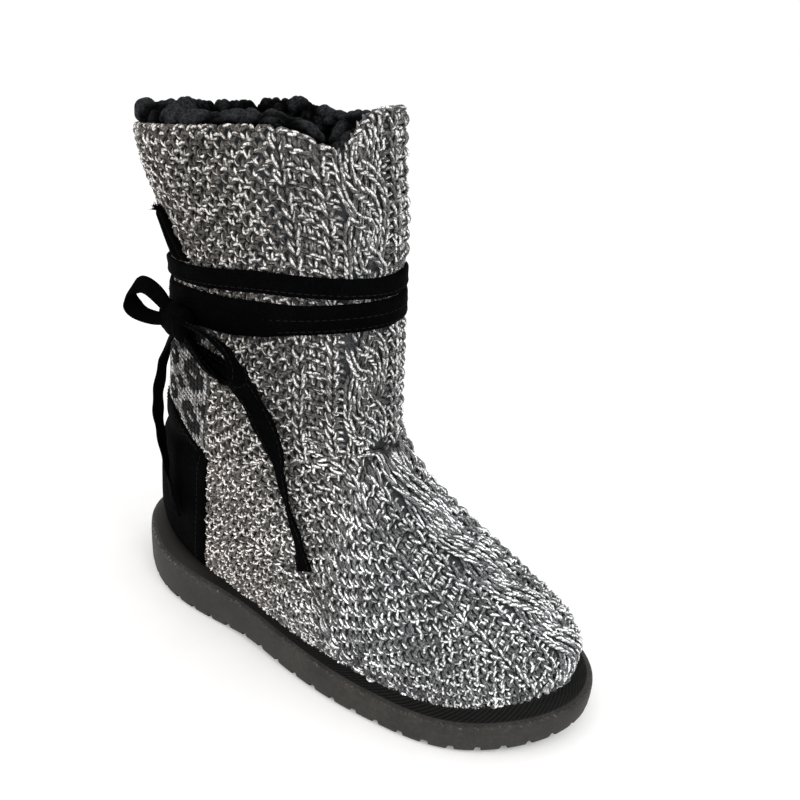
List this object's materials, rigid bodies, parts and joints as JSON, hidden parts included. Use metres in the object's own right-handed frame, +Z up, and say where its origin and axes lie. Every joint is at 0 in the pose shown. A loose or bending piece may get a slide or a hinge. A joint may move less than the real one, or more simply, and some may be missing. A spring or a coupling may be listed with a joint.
{
  "type": "boot",
  "caption": "Right ankle boot: chunky marled knit foot and shaft on a moulded rubber cup sole, suede heel counter, fleece collar and a suede ribbon tied in a bow.",
  "frame": {"origin": "on the floor, under the middle of the box of the boot without its bow", "axes": "+X to the toe, +Y to the inner side of the foot, +Z up"},
  "size_m": [0.268, 0.1248, 0.268],
  "materials": {
    "sole_rubber": "dark matte moulded rubber, lightly scuffed",
    "footbed": "black fleece cloth",
    "knit": "chunky marled grey and white yarn",
    "suede": "black suede with a soft nap",
    "stranded_knit": "black and white stranded knit",
    "ribbon": "black suede ribbon with stitched edges",
    "fleece": "black curly pile"
  },
  "bodies": {
    "root": {"outsole": "sole_rubber", "insole": "footbed", "upper": "knit", "shaft": "knit", "heel_counter": "suede", "back_panel": "stranded_knit", "back_tab": "suede", "ribbon_upper_wrap": "ribbon", "ribbon_lower_wrap": "ribbon", "fleece_collar": "fleece", "bow_knot": "ribbon", "bow_loop_back": "ribbon", "bow_loop_front": "ribbon", "tie_end_back": "ribbon", "tie_end_front": "ribbon"}
  },
  "joints": []
}
